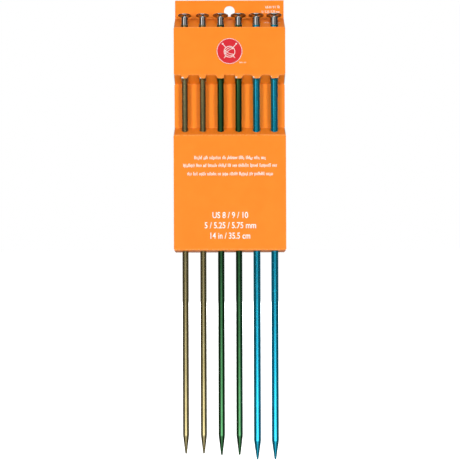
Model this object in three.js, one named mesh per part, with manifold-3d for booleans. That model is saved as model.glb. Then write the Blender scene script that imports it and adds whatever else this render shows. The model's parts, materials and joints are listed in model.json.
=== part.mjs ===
// Six single-pointed knitting needles, two each of three sizes, in a folded paperboard hanging card.
//
// Millimetres, +Z up, the card's printed side facing -Y. The origin is the centre of the hang hole on the
// card's rear face, so heights (z) are counted from the hole and depths (y) from the rear face.
//
// The card is one creased blank. From the rear panel it folds over the top edge into the header, then out
// along the top wall, down the upper front, back into the window, down the window's band, out again, down
// the lower front and back along the bottom wall. Flaps on the front panels and the band close its sides.

import * as THREE from 'three';
import { mergeVertices } from 'three/addons/utils/BufferGeometryUtils.js';
import Module from 'manifold-3d';

const wasm = await Module();
wasm.setup();

// --- Card ---------------------------------------------------------------------------------------------

const BOARD = 0.46; // paperboard thickness
const CREASE_GAP = 0.3; // clearance where two panels of the blank meet
const LAYER_GAP = 0.1; // between the header's two layers

const REAR_WIDTH = 88.7;
const UPPER_WIDTH = 89.1;
const BAND_WIDTH = 89.5;
const LOWER_WIDTH = 89.8;

const CARD_TOP = 9;
const CARD_BOTTOM = -197.2;
const HANG_HOLE_RADIUS = 4.4;

const FRONT = -16; // outer face of the front panels
const BAND = -5.7; // outer face of the window's band
const HEADER = -(2 * BOARD + LAYER_GAP); // outer face of the header
const INSIDE_REAR = -(BOARD + CREASE_GAP); // where walls and flaps stop short of the rear panel

// Each cross wall runs from a crease at the front panels to a crease behind it.
const TOP_WALL = { front: [FRONT, -16.9], rear: [HEADER, -6] };
const WINDOW_TOP_WALL = { front: [FRONT, -54.9], rear: [BAND, -60.6] };
const WINDOW_BOTTOM_WALL = { front: [FRONT, -102.7], rear: [BAND, -95.9] };
const BOTTOM_WALL = { front: [FRONT, -195.1], rear: [0, CARD_BOTTOM] };

// Every needle passes the two upper walls in notches open at the front crease, and the two lower walls in
// holes. Over the notches at the window's top, the upper panel keeps a round-ended tongue of the board.
const HOLE_CLEARANCE = 0.3; // round a shaft, in a hole or a notch
const TONGUE_LENGTH = 2.9;

// --- Needles ------------------------------------------------------------------------------------------

const NEEDLE_PITCH = 14.4;
const NEEDLE_AXIS = -9.2; // depth of every needle's axis
const TIP_RADIUS = 0.75;

const CAP_TOP = -5.4;
const CAP_HEIGHT = 8.7;
const CAP_WALL = 0.25;
const CAP_STEP = 0.15; // how far the collar stands proud of the shaft
const CAP_FIT = 0.05; // round the shaft's spigot
const FLANGE_THICKNESS = 0.9;
const FLANGE_EDGE = 0.25; // bevel round the flange
const FLARE_HEIGHT = 1.7; // of the trumpet curve from the collar to the flange

const SIZES = [
  { name: 'us8', diameter: 5, length: 353.7, taper: 15.2, flange: 10.6, color: 0x86784a },
  { name: 'us9', diameter: 5.25, length: 354.9, taper: 16.2, flange: 12.4, color: 0x1f5b35 },
  { name: 'us10', diameter: 5.75, length: 358.6, taper: 15.6, flange: 12.4, color: 0x0e86ad },
];

// The pairs stand in order of size, centred on the card.
const NEEDLES = SIZES.flatMap((size) => ['a', 'b'].map((mark) => ({ ...size, mark })));
NEEDLES.forEach((needle, i) => {
  needle.x = (i - (NEEDLES.length - 1) / 2) * NEEDLE_PITCH;
  needle.radius = needle.diameter / 2;
});

const ROUND_SEGMENTS = 24;
const HALF_ROUND = ROUND_SEGMENTS / 2; // curve setting that gives a full circle that many segments
const TONGUE_STEPS = 3; // chords in each of a tongue's two corners
const ARC_STEPS = 5; // chords in the cap's flare
const TIP_STEPS = 2; // chords in the rounded point

const group = new THREE.Group();
const cardMaterial = new THREE.MeshStandardMaterial({ color: 0xfb9332, roughness: 0.62, metalness: 0 });
const capMaterial = new THREE.MeshStandardMaterial({ color: 0xc9c9c6, roughness: 0.16, metalness: 1 });

function addMesh(name, geometry, material) {
  const mesh = new THREE.Mesh(geometry, material);
  mesh.name = name;
  group.add(mesh);
  return mesh;
}

// --- Geometry helpers ---------------------------------------------------------------------------------

const X = new THREE.Vector3(1, 0, 0);
const Y = new THREE.Vector3(0, 1, 0);
const Z = new THREE.Vector3(0, 0, 1);
const FROM_SIDE = new THREE.Matrix4().makeBasis(Y, Z, X); // drawn in y and z, extruded along x
const FROM_FRONT = new THREE.Matrix4().makeBasis(X, Z, Y.clone().negate()); // drawn in x and z

/** A prism with a side outline of [y, z] points, from x = left to x = right. */
function sidePrism(outline, left, right) {
  const shape = new THREE.Shape(outline.map(([y, z]) => new THREE.Vector2(y, z)));
  const geometry = new THREE.ExtrudeGeometry(shape, { depth: right - left, bevelEnabled: false });
  return geometry.applyMatrix4(FROM_SIDE).translate(left, 0, 0);
}

/** A sheet of board with a front outline drawn in x and z, its outer face at y = face. */
function frontSheet(shape, face, curveSegments) {
  const options = { depth: BOARD, bevelEnabled: false, curveSegments };
  return new THREE.ExtrudeGeometry(shape, options).applyMatrix4(FROM_FRONT).translate(0, face + BOARD, 0);
}

/** A body of revolution about +Z from a profile of [radius, z] points. */
function turned(profile) {
  const points = profile.map(([radius, z]) => new THREE.Vector2(radius, z));
  return new THREE.LatheGeometry(points, ROUND_SEGMENTS).rotateX(Math.PI / 2);
}

function solidOf(geometry) {
  const bare = geometry.clone();
  bare.deleteAttribute('normal');
  bare.deleteAttribute('uv');
  const merged = mergeVertices(bare);
  const vertProperties = merged.attributes.position.array;
  const triVerts = new Uint32Array(merged.index.array);
  return new wasm.Manifold(new wasm.Mesh({ numProp: 3, vertProperties, triVerts }));
}

function geometryOf(solid) {
  const mesh = solid.getMesh();
  const geometry = new THREE.BufferGeometry();
  geometry.setAttribute('position', new THREE.BufferAttribute(mesh.vertProperties, 3));
  geometry.setIndex(new THREE.BufferAttribute(mesh.triVerts, 1));
  return geometry;
}

// --- Card panels --------------------------------------------------------------------------------------

function rectangle(width, bottom, top) {
  const half = width / 2;
  return new THREE.Shape([
    new THREE.Vector2(-half, bottom),
    new THREE.Vector2(half, bottom),
    new THREE.Vector2(half, top),
    new THREE.Vector2(-half, top),
  ]);
}

/** A header layer: a rectangle up to the card's top with the hang hole through it. */
function headerLayer(bottom, face) {
  const shape = rectangle(REAR_WIDTH, bottom, CARD_TOP);
  shape.holes.push(new THREE.Path().absarc(0, 0, HANG_HOLE_RADIUS, 0, 2 * Math.PI, true));
  return frontSheet(shape, face, HALF_ROUND);
}

/** The upper front panel, with a tongue below its lower edge over each needle. */
function upperPanel(bottom, top) {
  const half = UPPER_WIDTH / 2;
  const shape = new THREE.Shape();
  shape.moveTo(-half, bottom);
  for (const { x, radius } of NEEDLES) {
    const end = bottom - TONGUE_LENGTH;
    const shoulder = end + radius / 2;
    shape.lineTo(x - radius, bottom);
    shape.lineTo(x - radius, shoulder);
    shape.quadraticCurveTo(x - radius, end, x, end);
    shape.quadraticCurveTo(x + radius, end, x + radius, shoulder);
    shape.lineTo(x + radius, bottom);
  }
  shape.lineTo(half, bottom);
  shape.lineTo(half, top);
  shape.lineTo(-half, top);
  return frontSheet(shape, FRONT, TONGUE_STEPS);
}

/** The height of a wall's outer face at a depth; beyond its creases the same slope goes on. */
function wallHeight(wall, y) {
  const [frontY, frontZ] = wall.front;
  const [rearY, rearZ] = wall.rear;
  return frontZ + ((rearZ - frontZ) * (y - frontY)) / (rearY - frontY);
}

/** A wall's height measured straight up, which is more than the board's thickness where it slants. */
function wallRise(wall) {
  const slope = (wall.rear[1] - wall.front[1]) / (wall.rear[0] - wall.front[0]);
  return BOARD * Math.hypot(1, slope);
}

/** A needle's way through the walls, the card's full height: a round hole, or a notch open at the front. */
function needleWay(needle, notched) {
  const radius = needle.radius + HOLE_CLEARANCE;
  const shape = new THREE.Shape();
  if (notched) {
    shape.moveTo(needle.x - radius, FRONT);
    shape.lineTo(needle.x + radius, FRONT);
    shape.lineTo(needle.x + radius, NEEDLE_AXIS);
  }
  shape.absarc(needle.x, NEEDLE_AXIS, radius, 0, notched ? Math.PI : 2 * Math.PI, false);
  const depth = CARD_TOP - CARD_BOTTOM;
  const options = { depth, bevelEnabled: false, curveSegments: HALF_ROUND };
  return new THREE.ExtrudeGeometry(shape, options).translate(0, 0, CARD_BOTTOM - 1);
}

/** A cross wall; inward is 1 where the card's inside lies above it and -1 where it lies below. */
function crossWall(wall, width, rear, inward, notched) {
  const front = FRONT + BOARD + CREASE_GAP;
  const rise = inward * wallRise(wall);
  const outline = [
    [front, wallHeight(wall, front)],
    [rear, wallHeight(wall, rear)],
    [rear, wallHeight(wall, rear) + rise],
    [front, wallHeight(wall, front) + rise],
  ];
  let solid = solidOf(sidePrism(outline, -width / 2, width / 2));
  for (const needle of NEEDLES) {
    solid = solid.subtract(solidOf(needleWay(needle, notched)));
  }
  return geometryOf(solid);
}

/** A side flap between two walls, from depth front to depth rear, as a side outline. */
function flapOutline(front, rear, lowerWall, lowerOffset, upperWall, upperOffset) {
  return [
    [front, wallHeight(lowerWall, front) + lowerOffset],
    [rear, wallHeight(lowerWall, rear) + lowerOffset],
    [rear, wallHeight(upperWall, rear) + upperOffset],
    [front, wallHeight(upperWall, front) + upperOffset],
  ];
}

/** The same flap on the left and on the right of a panel of the given width. */
function addFlaps(name, outline, width) {
  const outer = width / 2;
  addMesh(`${name}_left`, sidePrism(outline, -outer, -outer + BOARD), cardMaterial);
  addMesh(`${name}_right`, sidePrism(outline, outer - BOARD, outer), cardMaterial);
}

function addCard() {
  const behindFront = FRONT + BOARD + CREASE_GAP;
  const behindBand = BAND + BOARD + CREASE_GAP;
  const inside = (wall) => wallRise(wall) + CREASE_GAP; // from a wall's outer face to a flap inside it

  addMesh('rear_panel', headerLayer(CARD_BOTTOM, -BOARD), cardMaterial);
  addMesh('header_panel', headerLayer(TOP_WALL.rear[1], HEADER), cardMaterial);
  addMesh('top_wall', crossWall(TOP_WALL, REAR_WIDTH, HEADER - CREASE_GAP, -1, true), cardMaterial);
  addMesh('upper_front_panel', upperPanel(WINDOW_TOP_WALL.front[1], TOP_WALL.front[1]), cardMaterial);
  addMesh('window_top_wall', crossWall(WINDOW_TOP_WALL, BAND_WIDTH, BAND, 1, true), cardMaterial);
  const bandBottom = WINDOW_BOTTOM_WALL.rear[1] + CREASE_GAP;
  const bandTop = WINDOW_TOP_WALL.rear[1] - CREASE_GAP;
  addMesh('window_band', frontSheet(rectangle(BAND_WIDTH, bandBottom, bandTop), BAND, 1), cardMaterial);
  addMesh('window_bottom_wall', crossWall(WINDOW_BOTTOM_WALL, BAND_WIDTH, BAND, -1, false), cardMaterial);
  const lowerPanel = rectangle(LOWER_WIDTH, BOTTOM_WALL.front[1], WINDOW_BOTTOM_WALL.front[1]);
  addMesh('lower_front_panel', frontSheet(lowerPanel, FRONT, 1), cardMaterial);
  addMesh('bottom_wall', crossWall(BOTTOM_WALL, LOWER_WIDTH, INSIDE_REAR, 1, false), cardMaterial);

  const upperFlap = flapOutline(
    behindFront, INSIDE_REAR,
    WINDOW_TOP_WALL, inside(WINDOW_TOP_WALL), TOP_WALL, -inside(TOP_WALL));
  const bandFlap = flapOutline(
    behindBand, INSIDE_REAR,
    WINDOW_BOTTOM_WALL, CREASE_GAP, WINDOW_TOP_WALL, -CREASE_GAP);
  const lowerFlap = flapOutline(
    behindFront, INSIDE_REAR,
    BOTTOM_WALL, inside(BOTTOM_WALL), WINDOW_BOTTOM_WALL, -inside(WINDOW_BOTTOM_WALL));
  addFlaps('upper_flap', upperFlap, UPPER_WIDTH);
  addFlaps('band_flap', bandFlap, BAND_WIDTH);
  addFlaps('lower_flap', lowerFlap, LOWER_WIDTH);
}

// --- Needles ------------------------------------------------------------------------------------------

/** The shaft: a rounded point, a long cone, the drawn rod, and a reduced spigot inside the cap. */
function shaftProfile(needle) {
  const tip = CAP_TOP - needle.length;
  const shoulder = tip + needle.taper;
  const spigot = needle.radius + CAP_STEP - CAP_WALL - CAP_FIT;
  const collarBottom = CAP_TOP - CAP_HEIGHT;
  const profile = [[0, tip]];
  for (let i = 1; i <= TIP_STEPS; i += 1) {
    const angle = (i / TIP_STEPS) * (Math.PI / 2);
    profile.push([TIP_RADIUS * Math.sin(angle), tip + TIP_RADIUS * (1 - Math.cos(angle))]);
  }
  profile.push([needle.radius, shoulder]);
  profile.push([needle.radius, collarBottom - CAP_FIT]);
  profile.push([spigot, collarBottom - CAP_FIT]);
  profile.push([spigot, CAP_TOP - FLANGE_THICKNESS - CAP_FIT]);
  profile.push([0, CAP_TOP - FLANGE_THICKNESS - CAP_FIT]);
  return profile;
}

/** The cap: a thin collar over the spigot that flares like a trumpet into a flat round flange. */
function capProfile(needle) {
  const collar = needle.radius + CAP_STEP;
  const bore = collar - CAP_WALL;
  const flange = needle.flange / 2;
  const underside = CAP_TOP - FLANGE_THICKNESS;
  const flareEnd = flange - 2 * FLANGE_EDGE;
  const rim = CAP_TOP - CAP_HEIGHT;
  const profile = [[0, underside], [bore, underside], [bore, rim], [collar, rim]];
  for (let i = 0; i <= ARC_STEPS; i += 1) {
    const angle = (i / ARC_STEPS) * (Math.PI / 2);
    const radius = flareEnd - (flareEnd - collar) * Math.cos(angle);
    profile.push([radius, underside - FLARE_HEIGHT * (1 - Math.sin(angle))]);
  }
  profile.push([flange, underside + FLANGE_EDGE]);
  profile.push([flange, CAP_TOP - FLANGE_EDGE]);
  profile.push([flange - FLANGE_EDGE, CAP_TOP]);
  profile.push([0, CAP_TOP]);
  return profile;
}

function addNeedle(needle) {
  const shaftMaterial = new THREE.MeshStandardMaterial({ color: needle.color, roughness: 0.3, metalness: 1 });
  const shaft = addMesh(`${needle.name}_shaft_${needle.mark}`, turned(shaftProfile(needle)), shaftMaterial);
  const cap = addMesh(`${needle.name}_cap_${needle.mark}`, turned(capProfile(needle)), capMaterial);
  shaft.position.set(needle.x, NEEDLE_AXIS, 0);
  cap.position.set(needle.x, NEEDLE_AXIS, 0);
}

addCard();
NEEDLES.forEach(addNeedle);

export default group;
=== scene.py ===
import json
import math
import random

import bmesh
import bpy
import numpy as np
from mathutils import Matrix, Vector
from mathutils.geometry import delaunay_2d_cdt


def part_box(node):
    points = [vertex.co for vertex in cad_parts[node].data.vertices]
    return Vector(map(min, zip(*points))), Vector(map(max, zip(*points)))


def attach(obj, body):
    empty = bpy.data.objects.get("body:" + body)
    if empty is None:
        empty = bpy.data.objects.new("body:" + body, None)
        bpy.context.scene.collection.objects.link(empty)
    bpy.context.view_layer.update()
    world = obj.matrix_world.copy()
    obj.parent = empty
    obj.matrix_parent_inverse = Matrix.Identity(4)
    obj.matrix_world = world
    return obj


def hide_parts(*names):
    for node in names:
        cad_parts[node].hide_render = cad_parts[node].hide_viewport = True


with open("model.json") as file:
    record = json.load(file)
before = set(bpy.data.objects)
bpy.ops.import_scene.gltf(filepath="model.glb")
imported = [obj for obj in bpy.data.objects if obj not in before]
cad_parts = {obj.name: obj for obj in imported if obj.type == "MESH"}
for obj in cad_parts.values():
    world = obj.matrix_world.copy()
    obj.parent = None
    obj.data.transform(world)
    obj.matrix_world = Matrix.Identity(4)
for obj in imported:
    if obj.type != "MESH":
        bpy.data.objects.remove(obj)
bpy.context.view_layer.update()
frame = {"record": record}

# Six single-pointed knitting needles in a folded paperboard hanging card.
# Lengths are in millimetres, in the CAD frame: x across the card, y from its front to its back, z up from the
# centre of the hang hole. Every mesh is scaled to metres as it is made.

MM = 0.001


def box_mm(node):
    low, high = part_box(node)
    return np.array(low) / MM, np.array(high) / MM


# --- Dimensions ---------------------------------------------------------------------------------------

BOARD = 0.46
MOUNTAIN_RADIUS = 1.0  # outer radius of a crease that folds away from the print
VALLEY_RADIUS = 0.35  # outer radius of a crease that folds towards the print
TOP_FOLD_RADIUS = 0.5
SIDE_RADIUS = 0.5

REAR_LOW, REAR_HIGH = box_mm("rear_panel")
HEADER_LOW, _ = box_mm("header_panel")
UPPER_LOW, UPPER_HIGH = box_mm("upper_front_panel")
BAND_LOW, BAND_HIGH = box_mm("window_band")
LOWER_LOW, LOWER_HIGH = box_mm("lower_front_panel")

TONGUE_LENGTH = 2.9  # of the tongues that the upper panel keeps over the needles
INK_HEIGHT = 0.03
FRONT = UPPER_LOW[1] + 2 * INK_HEIGHT  # two layers of ink stand on the front panels
BAND = BAND_LOW[1]
WINDOW_TOP = UPPER_LOW[2] + TONGUE_LENGTH
WINDOW_BOTTOM = LOWER_HIGH[2]
FRONT_BOTTOM = LOWER_LOW[2]
CREASE_GAP = 0.3  # the CAD model's gap at a crease, which the folded sheet closes
CREASE_SUPPORT = 0.7  # from a crease to the edge line that keeps the flat beside it flat

HANG_HOLE_RADIUS = 4.4
GLUE_FLAP = 12.0
HOLE_CLEARANCE = 0.3
TONGUE_SHARE = 0.97  # of the shaft's radius

SIZES = {"us8": "8", "us9": "9", "us10": "10"}
MARKS = ("a", "b")

NEEDLES = []
for size, number in SIZES.items():
    for mark in MARKS:
        shaft_low, shaft_high = box_mm(f"{size}_shaft_{mark}")
        cap_low, cap_high = box_mm(f"{size}_cap_{mark}")
        NEEDLES.append({
            "size": size,
            "mark": mark,
            "number": number,
            "x": (shaft_low[0] + shaft_high[0]) / 2,
            "y": (shaft_low[1] + shaft_high[1]) / 2,
            "radius": (shaft_high[0] - shaft_low[0]) / 2,
            "tip": shaft_low[2],
            "shaft_top": shaft_high[2],
            "cap_bottom": cap_low[2],
            "cap_top": cap_high[2],
            "flange": (cap_high[0] - cap_low[0]) / 2,
        })


def add_object(name, data):
    thing = bpy.data.objects.new(name, data)
    bpy.context.scene.collection.objects.link(thing)
    return thing


# --- Node helpers -------------------------------------------------------------------------------------

def add_node(tree, kind, inputs=None, **settings):
    """A node with its settings, and its inputs by name or number set to a value or linked to a socket."""
    node = tree.nodes.new(kind)
    for key, value in settings.items():
        setattr(node, key, value)
    for key, value in (inputs or {}).items():
        if isinstance(value, bpy.types.NodeSocket):
            tree.links.new(value, node.inputs[key])
        else:
            node.inputs[key].default_value = value
    return node


def maths(tree, operation, *values):
    return add_node(tree, "ShaderNodeMath", dict(enumerate(values)), operation=operation).outputs[0]


def new_material(name, **values):
    material = bpy.data.materials.new(name)
    material.use_nodes = True
    shader = material.node_tree.nodes["Principled BSDF"]
    for key, value in values.items():
        shader.inputs[key.replace("_", " ")].default_value = value
    return material, material.node_tree, shader


def position(tree, scale=(1, 1, 1)):
    """The piece's own coordinates, in metres, scaled along each axis."""
    source = add_node(tree, "ShaderNodeTexCoord").outputs["Object"]
    return add_node(tree, "ShaderNodeMapping", {"Vector": source, "Scale": scale}).outputs[0]


def noise(tree, vector, scale, detail=2.0, roughness=0.5):
    inputs = {"Vector": vector, "Scale": scale, "Detail": detail, "Roughness": roughness}
    return add_node(tree, "ShaderNodeTexNoise", inputs).outputs["Fac"]


def between(tree, factor, low, high, low_at=0.3, high_at=0.7):
    """A number that runs from low to high as factor runs from low_at to high_at."""
    inputs = {"Value": factor, "From Min": low_at, "From Max": high_at, "To Min": low, "To Max": high}
    return add_node(tree, "ShaderNodeMapRange", inputs).outputs["Result"]


def blend_colours(tree, factor, first, second):
    node = add_node(tree, "ShaderNodeMix", data_type="RGBA")
    for socket, value in ((node.inputs[0], factor), (node.inputs[6], first), (node.inputs[7], second)):
        if isinstance(value, bpy.types.NodeSocket):
            tree.links.new(value, socket)
        else:
            socket.default_value = value
    return node.outputs[2]


def bump(tree, shader, height, strength, distance):
    inputs = {"Height": height, "Strength": strength, "Distance": distance}
    normal = add_node(tree, "ShaderNodeBump", inputs).outputs["Normal"]
    tree.links.new(normal, shader.inputs["Normal"])


def connect(tree, socket, shader, name):
    tree.links.new(socket, shader.inputs[name])


# --- Materials ----------------------------------------------------------------------------------------

ORANGE = (0.98, 0.249, 0.018, 1)
ORANGE_DEEP = (0.95, 0.233, 0.015, 1)
ORANGE_RUBBED = (0.96, 0.46, 0.17, 1)
RAW_BOARD = (0.86, 0.83, 0.77, 1)
RAW_BOARD_SHADE = (0.74, 0.70, 0.62, 1)
WHITE_INK = (0.90, 0.89, 0.86, 1)
WHITE_INK_THIN = (0.90, 0.80, 0.68, 1)
RED_INK = (0.62, 0.018, 0.030, 1)
RED_INK_THIN = (0.66, 0.030, 0.030, 1)


def printed_board():
    """Coated board printed orange: faint mottling, a fibrous surface, and the ink rubbed thin at folds."""
    material, tree, shader = new_material("printed_board")
    place = position(tree)
    mottle = noise(tree, place, 90, detail=3)
    fibre = noise(tree, place, 2600, detail=3, roughness=0.6)
    ink = blend_colours(tree, between(tree, mottle, 0, 1), ORANGE, ORANGE_DEEP)
    wear = add_node(tree, "ShaderNodeAttribute", attribute_name="wear").outputs["Fac"]
    grain = between(tree, noise(tree, place, 700, detail=4), 0, 1, 0.38, 0.66)
    rubbed = maths(tree, "MULTIPLY", maths(tree, "MULTIPLY", wear, grain), 0.55)
    connect(tree, blend_colours(tree, rubbed, ink, ORANGE_RUBBED), shader, "Base Color")
    connect(tree, between(tree, fibre, 0.42, 0.56), shader, "Roughness")
    bump(tree, shader, fibre, 0.12, 0.00012)
    return material


def raw_board():
    """The unprinted side and the cut edges: pale pulp with a visible fibre."""
    material, tree, shader = new_material("raw_board")
    place = position(tree)
    pulp = noise(tree, place, 1500, detail=4, roughness=0.65)
    colour = blend_colours(tree, between(tree, pulp, 0, 1), RAW_BOARD, RAW_BOARD_SHADE)
    connect(tree, colour, shader, "Base Color")
    connect(tree, between(tree, pulp, 0.75, 0.92), shader, "Roughness")
    bump(tree, shader, pulp, 0.35, 0.0002)
    return material


def ink(name, colour, thin):
    """Ink on the board: a little uneven where the fibre takes less of it."""
    material, tree, shader = new_material(name)
    place = position(tree)
    fibre = noise(tree, place, 2600, detail=3, roughness=0.6)
    shade = blend_colours(tree, between(tree, fibre, 0, 0.5, 0.5, 0.8), colour, thin)
    connect(tree, shade, shader, "Base Color")
    connect(tree, between(tree, fibre, 0.40, 0.52), shader, "Roughness")
    bump(tree, shader, fibre, 0.10, 0.0001)
    return material


def anodised(name, colour, deep, metallic, shoulder):
    """Dyed aluminium: lengthwise drawing lines on the rod, turning rings on the cone below the shoulder."""
    material, tree, shader = new_material(
        name, Metallic=metallic, Coat_Weight=0.35, Coat_IOR=1.55, Coat_Roughness=0.06)
    drawn = noise(tree, position(tree, (1, 1, 0.012)), 4200, detail=3, roughness=0.6)
    cloud = noise(tree, position(tree, (1, 1, 0.25)), 160, detail=3)
    tint = blend_colours(tree, between(tree, cloud, 0, 1), colour, deep)
    streaks = maths(tree, "MULTIPLY", between(tree, drawn, 0, 1), 0.22)
    connect(tree, blend_colours(tree, streaks, tint, deep), shader, "Base Color")
    connect(tree, between(tree, drawn, 0.15, 0.22), shader, "Roughness")
    rings = noise(tree, position(tree, (0.02, 0.02, 1)), 5200, detail=2)
    height = add_node(tree, "ShaderNodeSeparateXYZ", {0: position(tree)}).outputs["Z"]
    on_cone = between(tree, height, 1, 0, (shoulder - 0.3) * MM, (shoulder + 0.3) * MM)
    lines = add_node(tree, "ShaderNodeMix", data_type="FLOAT")
    for socket, value in ((lines.inputs[0], on_cone), (lines.inputs[2], drawn), (lines.inputs[3], rings)):
        tree.links.new(value, socket)
    bump(tree, shader, lines.outputs[0], 0.10, 0.00006)
    return material


def bright_metal():
    """Pressed and plated steel: mirror-like, with fine polishing lines round it and faint handling marks."""
    material, tree, shader = new_material("bright_metal", Metallic=1.0, Specular_Tint=(0.3, 0.3, 0.3, 1))
    lines = noise(tree, position(tree, (0.05, 0.05, 1)), 6000, detail=2)
    marks = noise(tree, position(tree), 420, detail=4, roughness=0.6)
    colour = blend_colours(tree, between(tree, marks, 0, 1), (0.60, 0.59, 0.57, 1), (0.50, 0.49, 0.48, 1))
    connect(tree, colour, shader, "Base Color")
    connect(tree, between(tree, marks, 0.04, 0.10), shader, "Roughness")
    bump(tree, shader, lines, 0.04, 0.00004)
    return material


PRINTED = printed_board()
RAW = raw_board()
WHITE = ink("white_ink", WHITE_INK, WHITE_INK_THIN)
RED = ink("red_ink", RED_INK, RED_INK_THIN)
BRIGHT = bright_metal()

DYES = {
    "us8": ((0.37, 0.315, 0.150, 1), (0.31, 0.250, 0.100, 1), 0.93),
    "us9": ((0.050, 0.200, 0.070, 1), (0.034, 0.150, 0.050, 1), 1.0),
    "us10": ((0.008, 0.44, 0.62, 1), (0.004, 0.36, 0.54, 1), 0.88),
}
TAPERS = {"us8": 15.2, "us9": 16.2, "us10": 15.6}


# --- The folded card ----------------------------------------------------------------------------------

# The blank is one long strip. Its printed face follows this line from the rear panel's foot, over the top,
# and down the front; each corner is (y, z, outer radius of the crease).
PANELS = ("rear", "top_fold", "header", "top_wall", "upper", "window_top_wall", "band",
          "window_bottom_wall", "lower", "bottom_wall", "glue_flap")
GLUE_LAYER = 0.06
GLUE_FACE = REAR_LOW[1] - GLUE_LAYER
CORNERS = (
    (0, REAR_LOW[2], 0),
    (0, REAR_HIGH[2], TOP_FOLD_RADIUS),
    (HEADER_LOW[1], REAR_HIGH[2], TOP_FOLD_RADIUS),
    (HEADER_LOW[1], HEADER_LOW[2], VALLEY_RADIUS),
    (FRONT, UPPER_HIGH[2], MOUNTAIN_RADIUS),
    (FRONT, WINDOW_TOP, MOUNTAIN_RADIUS),
    (BAND, BAND_HIGH[2] + CREASE_GAP, VALLEY_RADIUS),
    (BAND, BAND_LOW[2] - CREASE_GAP, VALLEY_RADIUS),
    (FRONT, WINDOW_BOTTOM, MOUNTAIN_RADIUS),
    (FRONT, FRONT_BOTTOM, MOUNTAIN_RADIUS),
    (GLUE_FACE, REAR_LOW[2] + 0.1, MOUNTAIN_RADIUS),
    (GLUE_FACE, REAR_LOW[2] + GLUE_FLAP, 0),
)

# Half widths of the flat panels; where a panel has side flaps, it ends where their fold begins.
HALF_WIDTH = {
    "rear": REAR_HIGH[0],
    "header": REAR_HIGH[0],
    "upper": UPPER_HIGH[0] - SIDE_RADIUS,
    "band": BAND_HIGH[0] - SIDE_RADIUS,
    "lower": LOWER_HIGH[0] - SIDE_RADIUS,
    "bottom_wall": LOWER_HIGH[0] - SIDE_RADIUS,
    "glue_flap": REAR_HIGH[0] - 1.2,
}
FLAPPED = ("upper", "band", "lower")
FLAP_SETBACK = 0.35
FLAP_END = REAR_LOW[1] - 0.3  # how far back the flaps reach


def outward(heading):
    """The printed side's normal where the line runs along heading."""
    return np.array([heading[1], -heading[0]])


def turned(heading, angle):
    c, s = math.cos(angle), math.sin(angle)
    return np.array([c * heading[0] - s * heading[1], s * heading[0] + c * heading[1]])


def rounded_line(corners):
    """The line's straight runs and arcs in order, each with its start u along the line."""
    points = [np.array(c[:2], float) for c in corners]
    headings = [(b - a) / np.linalg.norm(b - a) for a, b in zip(points, points[1:])]
    runs, u, start = [], 0.0, points[0]
    for i, heading in enumerate(headings):
        following = headings[i + 1] if i + 1 < len(headings) else heading
        across = heading[0] * following[1] - heading[1] * following[0]
        bend = math.atan2(across, float(heading @ following))
        radius = corners[i + 1][2]
        inset = radius * math.tan(abs(bend) / 2)
        end = points[i + 1] - heading * inset
        length = float(np.linalg.norm(end - start))
        runs.append({"u": u, "length": length, "start": start, "heading": heading, "bend": 0.0})
        u += length
        if bend:
            runs.append({"u": u, "length": radius * abs(bend), "start": end, "heading": heading,
                         "bend": math.copysign(1, bend), "radius": radius})
            u += radius * abs(bend)
        start = points[i + 1] + following * inset
    return runs


RUNS = rounded_line(CORNERS)
STRAIGHT = dict(zip(PANELS, RUNS[::2]))
ARCS = RUNS[1::2]
STARTS = np.array([run["u"] for run in RUNS])


def on_line(u):
    """The printed face's point (y, z) and normal at u."""
    run = RUNS[max(0, int(np.searchsorted(STARTS, u, side="right")) - 1)]
    along = u - run["u"]
    if not run["bend"]:
        return run["start"] + run["heading"] * along, outward(run["heading"])
    centre = run["start"] - outward(run["heading"]) * run["radius"] * run["bend"]
    normal = outward(turned(run["heading"], run["bend"] * along / run["radius"]))
    return centre + normal * run["radius"] * run["bend"], normal


def u_at(panel, value, axis):
    """Where a panel's straight run reaches a depth (axis 0) or a height (axis 1)."""
    run = STRAIGHT[panel]
    return run["u"] + (value - run["start"][axis]) / run["heading"][axis]


def ends(panel):
    run = STRAIGHT[panel]
    return run["u"], run["u"] + run["length"]


# From the end of the upper panel's flat to the crease's corner.
WINDOW_TOP_OFFSET = abs(WINDOW_TOP - RUNS[8]["start"][1]) - RUNS[8]["length"]


def lean(panel):
    """How much a cross wall rises for each millimetre that it runs back."""
    heading = STRAIGHT[panel]["heading"]
    return heading[1] / heading[0]


SIDE_ARC = SIDE_RADIUS * math.pi / 2
FLAP_LEANS = {
    "upper": (lean("top_wall"), lean("window_top_wall")),
    "band": (lean("window_top_wall"), lean("window_bottom_wall")),
    "lower": (lean("window_bottom_wall"), lean("bottom_wall")),
}


def flap_depth(panel):
    return FLAP_END - STRAIGHT[panel]["start"][0] - SIDE_RADIUS


def right_edge(panel):
    """The blank's outline down the right side of one panel, as (x, u) points."""
    first, last = ends(panel)
    half = HALF_WIDTH[panel]
    if panel == "glue_flap":
        return [(half, first + 1), (half - 3, last)]
    if panel not in FLAPPED:
        return [(half, first), (half, last)]
    depth = flap_depth(panel)
    upper_lean, lower_lean = FLAP_LEANS[panel]
    top, bottom = first + FLAP_SETBACK, last - FLAP_SETBACK
    fold, reach = half + SIDE_ARC, half + SIDE_ARC + depth
    # Going down the line is going down the card, so a wall that rises to the rear lifts a flap's end.
    return [(half, first), (half, top), (fold, top), (reach, top - upper_lean * depth),
            (reach, bottom - lower_lean * depth), (fold, bottom), (half, bottom), (half, last)]


def arc_points(x, y, radius, first, last, count):
    angles = np.linspace(first, last, count)
    return [(x + radius * math.cos(a), y + radius * math.sin(a)) for a in angles]


# The two upper walls' notches are open at the crease beside a front panel: the panel, and which end of it.
NOTCHED = {"top_wall": ("upper", 0), "window_top_wall": ("upper", 1)}
HOLED = ("window_bottom_wall", "bottom_wall")
NOTCH_OPENING = {"top_wall": 0.8, "window_top_wall": 0.0}


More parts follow.
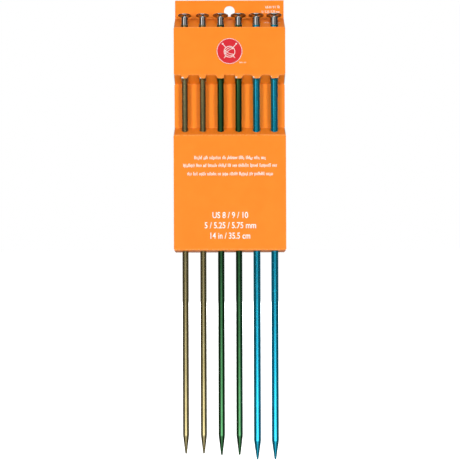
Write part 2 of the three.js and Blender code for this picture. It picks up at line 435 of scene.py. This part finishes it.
def hole_loop(wall, needle):
    radius = needle["radius"] + HOLE_CLEARANCE
    ring = arc_points(needle["x"], needle["y"], radius, 0, 2 * math.pi, 33)[:-1]
    return [(x, u_at(wall, y, 0)) for x, y in ring]


def notch_loop(wall, needle):
    panel, end = NOTCHED[wall]
    # It opens a little way round the crease, so that the panel's edge stays straight.
    base = ends(panel)[end] + (end - 0.5) * 2 * NOTCH_OPENING[wall]
    radius = needle["radius"] + HOLE_CLEARANCE
    back = arc_points(needle["x"], needle["y"], radius, math.pi, 0, 13)
    middle = [(x, u_at(wall, y, 0)) for x, y in back]
    return [(needle["x"] - radius, base), *middle, (needle["x"] + radius, base)]


# How far the cuts beside each tongue flare out where they meet the crease, to its left and right.
FLARES = ((1.0, 2.4), (1.3, 1.0), (3.3, 1.0), (1.2, 3.4), (3.4, 3.3), (3.3, 2.9))
TONGUE_BASE = ends("upper")[1]
TONGUE_PAST_BASE = TONGUE_LENGTH + WINDOW_TOP_OFFSET


def tongue_loop(index):
    """A tongue that goes on in the upper panel's plane, with flared sides and a blunt end."""
    needle = NEEDLES[index]
    half = needle["radius"] * TONGUE_SHARE
    corner = 0.7
    start = WINDOW_TOP_OFFSET * 0.8
    sides = []
    for flare in FLARES[index]:
        side = [(half + flare, 0)]
        for angle in np.linspace(math.pi / 2, 0, 9)[:-1]:
            down = TONGUE_PAST_BASE - corner - start
            out = half + flare * (1 - math.cos(angle) ** 1.2)
            side.append((out, start + down * (1 - math.sin(angle) ** 1.2)))
        side += arc_points(half - corner, TONGUE_PAST_BASE - corner, corner, 0, math.pi / 2, 5)
        sides.append(side)
    left, right = sides
    loop = [(needle["x"] - x, TONGUE_BASE + v) for x, v in left]
    return loop + [(needle["x"] + x, TONGUE_BASE + v) for x, v in reversed(right)]


# Where tongues were punched, the print tore off at a corner and left bare board: the needle's number from
# the left, how far the patch starts in from the tongue's left side and down from the crease, and its size.
TORN = (
    (0, -0.3, 1.5, 2.3, 2.0),
    (1, -0.2, 2.1, 1.5, 1.3),
    (3, -0.5, 1.3, 2.1, 1.6),
    (4, -0.5, 1.3, 1.6, 1.5),
    (4, 5.0, 1.9, 0.7, 0.8),
    (5, -0.4, 1.0, 0.6, 1.0),
    (5, 5.2, 1.6, 0.7, 1.1),
)


def torn_loop(index, across, down, width, height):
    needle = NEEDLES[index]
    left = needle["x"] - needle["radius"] * TONGUE_SHARE + across
    top = TONGUE_BASE + WINDOW_TOP_OFFSET + down
    shape = ((0.0, 0.55), (0.3, 0.2), (0.62, 0.0), (1.0, 0.3),
             (0.8, 0.52), (0.92, 0.8), (0.55, 0.86), (0.3, 1.0))
    return [(left + x * width, top + v * height) for x, v in shape]


def inside(points, loop):
    """Which points lie inside a closed loop, by counting the edges crossed to the right of each."""
    x, y = points[:, 0], points[:, 1]
    found = np.zeros(len(points), bool)
    for (x0, y0), (x1, y1) in zip(loop, loop[1:] + loop[:1]):
        if y0 == y1:
            continue
        crosses = (y0 > y) != (y1 > y)
        found ^= crosses & (x < (x1 - x0) * (y - y0) / (y1 - y0) + x0)
    return found


def blank_triangles():
    """The flat blank, cut into triangles whose edges follow every crease."""
    right = [point for panel in PANELS if panel in HALF_WIDTH for point in right_edge(panel)]
    outline = right + [(-x, u) for x, u in reversed(right)]
    holes = [arc_points(0, u_at(panel, 0, 1), HANG_HOLE_RADIUS, 0, 2 * math.pi, 41)[:-1]
             for panel in ("rear", "header")]
    holes += [hole_loop(wall, needle) for wall in HOLED for needle in NEEDLES]
    notches = [notch_loop(wall, needle) for wall in NOTCHED for needle in NEEDLES]
    tongues = [tongue_loop(i) for i in range(len(NEEDLES))]
    torn = [torn_loop(*patch) for patch in TORN]

    points, edges = [], []

    def add_chain(chain, closed):
        first = len(points)
        points.extend(chain)
        edges.extend((first + i, first + i + 1) for i in range(len(chain) - 1))
        if closed:
            edges.append((len(points) - 1, first))

    for loop in [outline, *holes, *notches, *tongues, *torn]:
        add_chain(loop, True)
    beyond = max(x for x, _ in right) + 1
    for arc in ARCS:
        rows = list(np.linspace(arc["u"], arc["u"] + arc["length"], 7))
        rows += [arc["u"] - CREASE_SUPPORT, arc["u"] + arc["length"] + CREASE_SUPPORT]
        for u in rows:
            add_chain([(-beyond, u), (beyond, u)], False)
    for panel in FLAPPED:
        first, last = ends(panel)
        lift = flap_depth(panel)
        columns = list(np.linspace(HALF_WIDTH[panel], HALF_WIDTH[panel] + SIDE_ARC, 6))
        columns += [HALF_WIDTH[panel] - CREASE_SUPPORT, HALF_WIDTH[panel] + SIDE_ARC + CREASE_SUPPORT]
        for x in columns:
            for side in (-1, 1):
                add_chain([(side * x, first - lift), (side * x, last + lift)], False)

    made = delaunay_2d_cdt([Vector(p) for p in points], edges, [], 0, 1e-6)
    flat = np.array([tuple(v) for v in made[0]])
    triangles = np.array([tuple(f) for f in made[2]])
    middles = flat[triangles].mean(axis=1)

    keep = inside(middles, outline)
    for loop in holes:
        keep &= ~inside(middles, loop)
    in_tongue = np.full(len(middles), -1)
    for i, loop in enumerate(tongues):
        in_tongue[inside(middles, loop)] = i
    in_notch = np.zeros(len(middles), bool)
    for loop in notches:
        in_notch |= inside(middles, loop)
    keep &= ~in_notch | (in_tongue >= 0)
    bare = np.zeros(len(middles), bool)
    for loop in torn:
        bare |= inside(middles, loop)
    return flat, triangles[keep], in_tongue[keep], bare[keep]


def flap_under(x, u):
    """The panel whose side flap, or its fold, a point of the blank is on."""
    for panel in FLAPPED:
        over = abs(x) - HALF_WIDTH[panel]
        if over <= 1e-4:
            continue
        upper_lean, lower_lean = FLAP_LEANS[panel]
        depth = max(0, over - SIDE_ARC)
        first, last = ends(panel)
        if first - upper_lean * depth <= u <= last - lower_lean * depth:
            return panel
    return None


def folded_point(x, u):
    """The printed face's point and normal for a point of the blank, and how worn the ink is there."""
    panel = flap_under(x, u)
    if panel is None:
        point, normal = on_line(u)
        run = RUNS[max(0, int(np.searchsorted(STARTS, u, side="right")) - 1)]
        return np.array([x, *point]), np.array([0, *normal]), 1.0 if run["bend"] else 0.0
    run = STRAIGHT[panel]
    normal = outward(run["heading"])
    over = abs(x) - HALF_WIDTH[panel]
    side = math.copysign(1, x)
    angle = min(over / SIDE_RADIUS, math.pi / 2)
    drop = SIDE_RADIUS * (1 - math.cos(angle)) + max(0, over - SIDE_ARC)
    point = run["start"] + run["heading"] * (u - run["u"]) - normal * drop
    place = np.array([side * (HALF_WIDTH[panel] + SIDE_RADIUS * math.sin(angle)), *point])
    turned_normal = np.array([0, *normal]) * math.cos(angle) + np.array([side, 0, 0]) * math.sin(angle)
    return place, turned_normal, 1.0 if over < SIDE_ARC - 1e-4 else 0.0


def tongue_point(x, u, lift):
    """A tongue stays in its panel's plane and lifts a little towards its end."""
    run = STRAIGHT["upper"]
    share = (u - TONGUE_BASE) / TONGUE_PAST_BASE
    normal = outward(run["heading"])
    point = run["start"] + run["heading"] * (u - run["u"]) + normal * lift * share * share
    return np.array([x, *point]), np.array([0, *normal]), 0.35


def folded_card():
    flat, triangles, in_tongue, bare = blank_triangles()
    rng = random.Random(4)
    lifts = [rng.uniform(-0.15, 0.25) for _ in NEEDLES]
    # A tongue is cut free down both sides, so past the crease it has points of its own.
    keys, points = {}, []

    def point_number(i, tongue):
        free = tongue >= 0 and flat[i][1] > TONGUE_BASE + 1e-4
        key = (i, tongue if free else -1)
        if key not in keys:
            keys[key] = len(points)
            points.append(tongue_point(*flat[i], lifts[tongue]) if free else folded_point(*flat[i]))
        return keys[key]

    numbered = [[point_number(i, tongue) for i in triangle] for triangle, tongue in zip(triangles, in_tongue)]
    outer = np.array([place for place, _, _ in points])
    normal = np.array([direction for _, direction, _ in points])
    worn = [wear for _, _, wear in points]
    count = len(outer)
    vertices = np.vstack([outer, outer - normal * BOARD])

    faces, slots, loop_normals = [], [], []
    directed = set()
    for (a, b, c), is_bare in zip(numbered, bare):
        facing = np.cross(outer[b] - outer[a], outer[c] - outer[a])
        if facing @ normal[a] < 0:
            b, c = c, b
        faces.append((a, b, c))
        slots.append(1 if is_bare else 0)
        loop_normals += [normal[a], normal[b], normal[c]]
        faces.append((c + count, b + count, a + count))
        slots.append(1)
        loop_normals += [-normal[c], -normal[b], -normal[a]]
        directed.update(((a, b), (b, c), (c, a)))
    for a, b in sorted(directed):
        if (b, a) in directed:
            continue
        side = np.cross(vertices[a] - vertices[b], vertices[b + count] - vertices[b])
        side /= max(np.linalg.norm(side), 1e-9)
        faces.append((b, a, a + count, b + count))
        slots.append(1)
        loop_normals += [side] * 4

    mesh = bpy.data.meshes.new("folded_card")
    mesh.from_pydata((vertices * MM).tolist(), [], faces)
    mesh.materials.append(PRINTED)
    mesh.materials.append(RAW)
    mesh.polygons.foreach_set("material_index", slots)
    mesh.polygons.foreach_set("use_smooth", [True] * len(faces))
    wear = mesh.attributes.new("wear", "FLOAT", "POINT")
    wear.data.foreach_set("value", worn * 2)
    mesh.normals_split_custom_set([tuple(n) for n in loop_normals])
    mesh.update()
    return add_object("folded_card", mesh)


card = folded_card()
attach(card, "card")
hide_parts(*frame["record"]["behaviour"]["bodies"]["card"])


# --- The print ----------------------------------------------------------------------------------------

def on_panel(panel, x, z, lift):
    run = STRAIGHT[panel]
    point = run["start"] + run["heading"] * (u_at(panel, z, 1) - run["u"])
    return (x, *(point + outward(run["heading"]) * lift))


def raised(name, panel, plates, material, lift=0.0):
    """Thin plates of ink on a panel: outlines of (x, z) points, or ribbons with a left and a right side."""
    vertices, faces = [], []
    for plate in plates:
        first = len(vertices)
        rows = plate if isinstance(plate, tuple) else (plate,)
        loop = list(rows[0]) + list(reversed(rows[1])) if len(rows) == 2 else list(rows[0])
        count = len(loop)
        vertices += [on_panel(panel, x, z, lift) for x, z in loop]
        vertices += [on_panel(panel, x, z, lift + INK_HEIGHT) for x, z in loop]
        for i in range(count):
            j = (i + 1) % count
            faces.append((first + i, first + j, first + count + j, first + count + i))
        for layer in (0, count):
            if len(rows) == 1:
                faces.append(tuple(first + layer + i for i in range(count)))
                continue
            for i in range(len(rows[0]) - 1):
                quad = (i, i + 1, count - 2 - i, count - 1 - i)
                faces.append(tuple(first + layer + k for k in quad))
    built = bmesh.new()
    corners = [built.verts.new(Vector(v) * MM) for v in vertices]
    for face in faces:
        built.faces.new([corners[k] for k in face])
    bmesh.ops.recalc_face_normals(built, faces=built.faces)
    mesh = bpy.data.meshes.new(name)
    built.to_mesh(mesh)
    built.free()
    mesh.materials.append(material)
    piece = add_object(name, mesh)
    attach(piece, "card")


def stroke(points, width):
    """A ribbon along (x, z) points."""
    points = [np.array(p, float) for p in points]
    left, right = [], []
    for i, point in enumerate(points):
        before, after = points[max(i - 1, 0)], points[min(i + 1, len(points) - 1)]
        along = (after - before) / np.linalg.norm(after - before)
        across = np.array([-along[1], along[0]]) * width / 2
        left.append(tuple(point + across))
        right.append(tuple(point - across))
    return left, right


def ellipse(x, z, half_width, half_height, first=0.0, last=2 * math.pi, count=48, tilt=0.0):
    points = []
    for angle in np.linspace(first, last, count):
        a, b = half_width * math.cos(angle), half_height * math.sin(angle)
        points.append((x + a * math.cos(tilt) - b * math.sin(tilt),
                       z + a * math.sin(tilt) + b * math.cos(tilt)))
    return points


# A plain round seal with a stitched border and a ball of yarn with two needles through it.
SEAL_X, SEAL_Z = 0.0, -36.1
SEAL_RADIUS = 10.4
STITCH_RADIUS = 9.95
STITCHES = 48
YARN_RADIUS = 4.3


def seal():
    disc = ellipse(SEAL_X, SEAL_Z, SEAL_RADIUS, SEAL_RADIUS, count=73)[:-1]
    raised("seal_disc", "upper", [disc], RED)
    plates = []
    step = 2 * math.pi / STITCHES
    for i in range(STITCHES):
        arc = ellipse(SEAL_X, SEAL_Z, STITCH_RADIUS, STITCH_RADIUS, i * step, (i + 0.78) * step, 4)
        plates.append(stroke(arc, 0.42))
    raised("seal_stitches", "upper", plates, WHITE, INK_HEIGHT)

    centre_z = SEAL_Z - 0.5
    plates = [stroke(ellipse(SEAL_X, centre_z, YARN_RADIUS, YARN_RADIUS, 0, 2 * math.pi - 0.02), 0.5)]
    for tilt in (0.6, 2.7):
        for squeeze in (0.28, 0.66):
            wide, high = YARN_RADIUS * 0.88, YARN_RADIUS * squeeze
            arc = ellipse(SEAL_X, centre_z, wide, high, 0.2, math.pi - 0.2, 20, tilt)
            plates.append(stroke(arc, 0.36))
    for side in (-1, 1):
        tip = np.array([SEAL_X - side * 4.4, centre_z - 5.0])
        head = np.array([SEAL_X + side * 5.4, centre_z + 6.3])
        along = (head - tip) / np.linalg.norm(head - tip)
        middle = np.array([SEAL_X, centre_z])
        plates.append(stroke([middle + along * (YARN_RADIUS + 0.4), head], 0.5))
        plates.append(stroke([middle - along * (YARN_RADIUS + 0.4), tip], 0.5))
        plates.append(ellipse(head[0], head[1], 0.7, 0.7, count=19)[:-1])
    raised("seal_yarn", "upper", plates, WHITE, INK_HEIGHT)


# Rows of ticks stand for lines of small print: (centre x, z, width, tick height, tick width).
SMALL_PRINT = (
    (0.0, -121.0, 56.6, 2.5, 0.40),
    (0.0, -127.2, 74.2, 2.5, 0.40),
    (0.0, -133.9, 67.8, 2.5, 0.40),
)
SEAL_PRINT = ((10.6, -45.2, 5.4, 0.9, 0.24),)


def tick_rows(name, panel, rows, seed):
    """Ticks of uneven height in word-like groups, which read as small print and say nothing."""
    rng = random.Random(seed)
    plates = []
    for centre, z, width, height, thick in rows:
        x = centre - width / 2
        left = rng.randint(4, 10)
        while x < centre + width / 2:
            tall = height * rng.choice((0.72, 0.72, 0.78, 1.0, 1.08))
            low = z - height / 2 - (height * 0.22 if rng.random() < 0.12 else 0)
            plates.append([(x, low), (x + thick, low), (x + thick, low + tall), (x, low + tall)])
            if rng.random() < 0.55:
                bar = low + tall * rng.choice((0.0, 0.45, 0.85))
                plates.append([(x + thick, bar), (x + 2 * thick, bar),
                               (x + 2 * thick, bar + thick * 0.7), (x + thick, bar + thick * 0.7)])
            x += thick * 2.3
            left -= 1
            if left == 0:
                x += thick * 2.6
                left = rng.randint(3, 10)
    raised(name, panel, plates, WHITE)


# The needles' sizes, as plain numbers and units: (panel, words, centre x, z, width, height).
SIZE_WORDS = ("US 8 / 9 / 10", "5 / 5.25 / 5.75 mm", "14 in / 35.5 cm")
SIZE_PRINT = (
    ("lower", SIZE_WORDS[0], 0.2, -166.9, 28.4, 5.0),
    ("lower", SIZE_WORDS[1], 0.2, -175.0, 41.0, 5.0),
    ("lower", SIZE_WORDS[2], 0.2, -183.3, 31.7, 5.0),
    ("header", SIZE_WORDS[0], 35.2, 3.3, 11.6, 2.0),
    ("header", SIZE_WORDS[1], 33.7, -0.5, 14.6, 2.0),
    ("top_wall", SIZE_WORDS[2], 34.5, -11.5, 13.2, 2.0),
)


def text_piece(name, words, width, height, thickness, material):
    """Words as a solid mesh in the xy plane, centred, stretched to a width and a height."""
    curve = bpy.data.curves.new(name, "FONT")
    curve.body = words
    curve.resolution_u = 4
    curve.extrude = 0.5
    curve.offset = 0.012
    source = add_object(name + "_outline", curve)
    bpy.context.view_layer.update()
    mesh = bpy.data.meshes.new_from_object(source.evaluated_get(bpy.context.evaluated_depsgraph_get()))
    bpy.data.objects.remove(source)
    co = np.array([tuple(v.co) for v in mesh.vertices])
    low, high = co.min(0), co.max(0)
    target = np.array([width, height, thickness]) * MM
    co = (co - (low + high) / 2) / (high - low) * target
    mesh.vertices.foreach_set("co", co.ravel())
    mesh.name = name
    mesh.materials.clear()
    mesh.materials.append(material)
    return add_object(name, mesh)


def size_lines():
    for i, (panel, words, x, z, width, height) in enumerate(SIZE_PRINT):
        piece = text_piece(f"size_line_{i + 1}", words, width, height, INK_HEIGHT, WHITE)
        out = Vector((0, *outward(STRAIGHT[panel]["heading"])))
        up = Vector((0, *-STRAIGHT[panel]["heading"]))
        turn = Matrix((Vector((1, 0, 0)), up, out)).transposed().to_4x4()
        place = Matrix.Translation(Vector(on_panel(panel, x, z, INK_HEIGHT / 2)) * MM)
        piece.data.transform(place @ turn)
        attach(piece, "card")


seal()
tick_rows("small_print", "lower", SMALL_PRINT, 11)
tick_rows("seal_print", "upper", SEAL_PRINT, 3)
size_lines()


# --- Needles ------------------------------------------------------------------------------------------

ROUND = 72
CAP_WALL = 0.25
CAP_STEP = 0.15  # how far the collar stands proud of the shaft
CAP_FIT = 0.05  # between a head and the spigot that it is pressed on
FLANGE_THICKNESS = 0.9
FLARE_HEIGHT = 1.7
TIP_RADIUS = 0.75
RIM_RADIUS = 0.38
SUPPORT = 0.2  # from a rounding to the ring that keeps the straight beyond it truly straight
DIGIT_WIDTH = 2.2
NUMBER_HEIGHT = 3.6
NUMBER_THICKNESS = 0.16
NUMBER_DROP = 0.14  # from a head's top to the middle of its number's thickness


def lathe(name, profile, x, y, material):
    """A closed body of revolution about a vertical axis, from an outline that starts and ends on it."""
    vertices, faces, rings = [], [], []
    for radius, z in profile:
        if radius == 0:
            rings.append([len(vertices)])
            vertices.append((x, y, z))
            continue
        rings.append(list(range(len(vertices), len(vertices) + ROUND)))
        for k in range(ROUND):
            angle = 2 * math.pi * k / ROUND
            vertices.append((x + radius * math.cos(angle), y + radius * math.sin(angle), z))
    for lower, upper in zip(rings, rings[1:]):
        for k in range(ROUND):
            j = (k + 1) % ROUND
            if len(lower) == 1:
                faces.append((lower[0], upper[j], upper[k]))
            elif len(upper) == 1:
                faces.append((lower[k], lower[j], upper[0]))
            else:
                faces.append((lower[k], lower[j], upper[j], upper[k]))
    mesh = bpy.data.meshes.new(name)
    mesh.from_pydata([tuple(c * MM for c in v) for v in vertices], [], faces)
    mesh.materials.append(material)
    mesh.polygons.foreach_set("use_smooth", [True] * len(faces))
    mesh.set_sharp_from_angle(angle=math.radians(38))
    mesh.update()
    return add_object(name, mesh)


def rounded(corner_radius, before, corner, after, count=6):
    """Points of an arc-like curve that cuts the corner of an outline."""
    before, corner, after = (np.array(p, float) for p in (before, corner, after))
    start = corner + (before - corner) / np.linalg.norm(before - corner) * corner_radius
    end = corner + (after - corner) / np.linalg.norm(after - corner) * corner_radius
    points = []
    for t in np.linspace(0, 1, count):
        points.append(tuple((1 - t) ** 2 * start + 2 * t * (1 - t) * corner + t * t * end))
    return points


def rod_profile(needle, taper):
    tip, radius = needle["tip"], needle["radius"]
    spigot = radius + CAP_STEP - CAP_WALL - CAP_FIT
    rim = needle["cap_bottom"] - CAP_FIT
    # The cone meets the ball of the point where both slope alike.
    slope = math.atan2(radius - TIP_RADIUS, taper - TIP_RADIUS)
    profile = [(0, tip)]
    for angle in np.linspace(0, math.pi / 2 - slope, 9)[1:]:
        profile.append((TIP_RADIUS * math.sin(angle), tip + TIP_RADIUS * (1 - math.cos(angle))))
    profile += rounded(0.9, profile[-1], (radius, tip + taper), (radius, rim), 7)
    # Rings at even heights keep the long rod's quads short.
    profile += [(radius, z) for z in np.linspace(tip + taper + 8, rim - 6, 36)]
    profile.append((radius, rim - SUPPORT))
    profile += rounded(0.12, (radius, tip), (radius, rim), (spigot, rim), 3)
    profile += [(spigot, rim), (spigot, needle["shaft_top"]), (0, needle["shaft_top"])]
    return profile


def head_profile(needle):
    collar = needle["radius"] + CAP_STEP
    bore = collar - CAP_WALL
    flange, top, bottom = needle["flange"], needle["cap_top"], needle["cap_bottom"]
    underside = top - FLANGE_THICKNESS
    ceiling = (0, underside)
    profile = [ceiling, (bore, underside)]
    profile += rounded(0.1, (bore, underside), (bore, bottom), (collar, bottom), 4)
    profile += rounded(0.1, (bore, bottom), (collar, bottom), (collar, top), 4)
    profile += [(collar, bottom + SUPPORT), (collar, underside - FLARE_HEIGHT - SUPPORT)]
    flare_end = flange - RIM_RADIUS
    for angle in np.linspace(0, math.pi / 2, 15):
        radius = flare_end - (flare_end - collar) * math.cos(angle)
        profile.append((radius, underside - FLARE_HEIGHT * (1 - math.sin(angle))))
    half = FLANGE_THICKNESS / 2
    for angle in np.linspace(-math.pi / 2, math.pi / 2, 11)[1:]:
        profile.append((flare_end + RIM_RADIUS * math.cos(angle), underside + half + half * math.sin(angle)))
    # The top is dished a little inside a raised rim.
    dish = 0.16
    for t in np.linspace(0, 1, 8)[1:]:
        radius = flare_end - 0.9 * t
        profile.append((radius, top - dish * (3 * t * t - 2 * t ** 3)))
    profile.append((flare_end * 0.4, top - dish))
    profile.append((0, top - dish))
    return profile


def needles():
    for needle in NEEDLES:
        size, mark = needle["size"], needle["mark"]
        body = f"{size}_needle_{mark}"
        dye = bpy.data.materials.get(f"{size}_anodised")
        if dye is None:
            dye = anodised(f"{size}_anodised", *DYES[size], needle["tip"] + TAPERS[size])
        rod = lathe(f"{size}_rod_{mark}", rod_profile(needle, TAPERS[size]), needle["x"], needle["y"], dye)
        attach(rod, body)
        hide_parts(f"{size}_shaft_{mark}")
        head = lathe(f"{size}_head_{mark}", head_profile(needle), needle["x"], needle["y"], BRIGHT)
        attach(head, body)
        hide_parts(f"{size}_cap_{mark}")
        number = needle["number"]
        width = DIGIT_WIDTH * len(number)
        stamp = text_piece(f"{size}_number_{mark}", number, width, NUMBER_HEIGHT, NUMBER_THICKNESS, BRIGHT)
        place = Vector((needle["x"], needle["y"], needle["cap_top"] - NUMBER_DROP)) * MM
        stamp.data.transform(Matrix.Translation(place))
        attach(stamp, body)


needles()


# --- Stage --------------------------------------------------------------------------------------------

CAMERA_DISTANCE = 603.5  # from the needles
CAMERA_SIDE = -0.05
CAMERA_HEIGHT = -178.8
CAMERA_ROLL = 0.19  # degrees
FOCAL_LENGTH = 58.56
LOWEST = min(needle["tip"] for needle in NEEDLES)
FLOOR_REACH = 6.0  # metres from the middle to each edge
MIDDLE = Vector((0.0, FRONT, -178.6)) * MM  # what the lights face


def floor():
    mesh = bpy.data.meshes.new("floor")
    z = (LOWEST - 1.0) * MM
    corners = [(x * FLOOR_REACH, y * FLOOR_REACH, z) for x, y in ((-1, -1), (1, -1), (1, 1), (-1, 1))]
    mesh.from_pydata(corners, [], [(0, 1, 2, 3)])
    material, tree, shader = new_material("floor", Roughness=0.9)
    grain = noise(tree, position(tree), 30, detail=2)
    shade = blend_colours(tree, grain, (0.93, 0.93, 0.93, 1), (0.90, 0.90, 0.90, 1))
    connect(tree, shade, shader, "Base Color")
    shader.inputs["Emission Color"].default_value = (1, 1, 1, 1)
    shader.inputs["Emission Strength"].default_value = 0.94
    mesh.materials.append(material)
    ground = add_object("floor", mesh)
    ground.visible_glossy = False
    ground.visible_diffuse = False


def softbox(name, azimuth, elevation, distance, width, height, power):
    """An area light that faces the middle: angles in degrees, distance and size in metres, power in watts."""
    data = bpy.data.lights.new(name, "AREA")
    data.shape = "RECTANGLE"
    data.size = width
    data.size_y = height
    data.energy = power
    light = add_object(name, data)
    a, e = math.radians(azimuth), math.radians(elevation)
    offset = Vector((math.sin(a) * math.cos(e), -math.cos(a) * math.cos(e), math.sin(e))) * distance
    light.location = MIDDLE + offset
    light.rotation_euler = (-offset).to_track_quat("-Z", "Y").to_euler()
    light.visible_glossy = False
    light.visible_camera = False


def ramp(tree, factor, stops):
    """A grey ramp through (position, value) stops."""
    node = add_node(tree, "ShaderNodeValToRGB", {"Fac": factor})
    elements = node.color_ramp.elements
    for i, (place, value) in enumerate(stops):
        element = elements[i] if i < 2 else elements.new(place)
        element.position = place
        element.color = (value, value, value, 1)
    return node.outputs["Color"]


def studio_world():
    """White to the camera. Gloss sees a dim front with a bright band low down, and two strips above eye
    level, then dark sides and a brighter rear."""
    world = bpy.data.worlds.new("studio")
    world.use_nodes = True
    tree = world.node_tree
    tree.nodes.clear()
    direction = add_node(tree, "ShaderNodeTexCoord").outputs["Generated"]
    parts = add_node(tree, "ShaderNodeSeparateXYZ", {0: direction})
    x, y, z = (parts.outputs[i] for i in range(3))
    azimuth = maths(tree, "ARCTAN2", x, maths(tree, "MULTIPLY", y, -1.0))
    elevation = maths(tree, "ARCSINE", maths(tree, "MINIMUM", maths(tree, "MAXIMUM", z, -1.0), 1.0))
    turn = maths(tree, "DIVIDE", maths(tree, "ABSOLUTE", azimuth), math.pi)
    signed = maths(tree, "ADD", maths(tree, "DIVIDE", azimuth, 2 * math.pi), 0.5)
    height = maths(tree, "ADD", maths(tree, "DIVIDE", elevation, math.pi), 0.5)

    def up(degrees):
        return 0.5 + degrees / 180

    def out(degrees):
        return degrees / 180

    def across(degrees):
        return 0.5 + degrees / 360

    ahead = ramp(tree, turn, ((0, 1), (out(14), 0.9), (out(38), 0.22), (out(52), 0)))
    level = ramp(tree, height, ((0, 0.3), (up(-48), 0.5), (up(-34), 0.8), (up(-23), 2.0), (up(-18), 6.0),
                                (up(-14), 3.8), (up(-10), 1.6), (up(-2), 0.50), (up(4), 0.38),
                                (up(8), 0.34), (up(12), 0.20), (1, 0.3)))
    sides = ramp(tree, turn, ((out(60), 0.03), (out(84), 0.10), (out(96), 0.10), (out(110), 0.03),
                              (out(122), 0.03), (out(134), 0.45), (out(150), 0.45), (1, 0.6)))
    strips = ramp(tree, signed, ((across(-46), 0), (across(-41), 1.7), (across(-23), 1.7), (across(-18), 0),
                                 (across(14), 0), (across(20), 0.45), (across(36), 0.45), (across(42), 0)))
    raised_only = ramp(tree, height, ((up(8), 0), (up(11), 1)))
    glossy = maths(tree, "MULTIPLY_ADD", ahead, level, sides)
    glossy = maths(tree, "MULTIPLY_ADD", strips, raised_only, glossy)
    path = add_node(tree, "ShaderNodeLightPath")
    plain = maths(tree, "MAXIMUM", path.outputs["Is Camera Ray"], 0.10)
    strength = add_node(tree, "ShaderNodeMix", data_type="FLOAT")
    for socket, value in ((strength.inputs[0], path.outputs["Is Glossy Ray"]),
                          (strength.inputs[2], plain), (strength.inputs[3], glossy)):
        tree.links.new(value, socket)
    inputs = {"Color": (1, 1, 1, 1), "Strength": strength.outputs[0]}
    background = add_node(tree, "ShaderNodeBackground", inputs)
    add_node(tree, "ShaderNodeOutputWorld", {"Surface": background.outputs[0]})
    bpy.context.scene.world = world


def camera():
    """Straight on, level with the middle of the needles, turned very slightly."""
    data = bpy.data.cameras.new("camera")
    data.sensor_width = 36.0
    data.lens = FOCAL_LENGTH
    data.clip_end = 50
    view = add_object("camera", data)
    view.location = Vector((CAMERA_SIDE, NEEDLES[0]["y"] - CAMERA_DISTANCE, CAMERA_HEIGHT)) * MM
    view.rotation_euler = (math.radians(90), math.radians(CAMERA_ROLL), 0)
    bpy.context.scene.camera = view


floor()
softbox("key_left", -34, 4, 1.0, 0.3, 0.6, 6.9)
softbox("key_right", 34, 4, 1.0, 0.3, 0.6, 6.9)
softbox("top", 0, 62, 1.5, 0.9, 0.5, 1.1)
softbox("bounce", 180, -83.5, 0.142, 0.3, 0.06, 0.085)
softbox("side_left", -108, 10, 1.2, 0.5, 0.8, 5.0)
softbox("side_right", 108, 10, 1.2, 0.5, 0.8, 5.0)
softbox("back", 180, 12, 1.3, 0.8, 0.8, 8.0)
studio_world()
camera()
bpy.context.scene.view_settings.view_transform = "Standard"
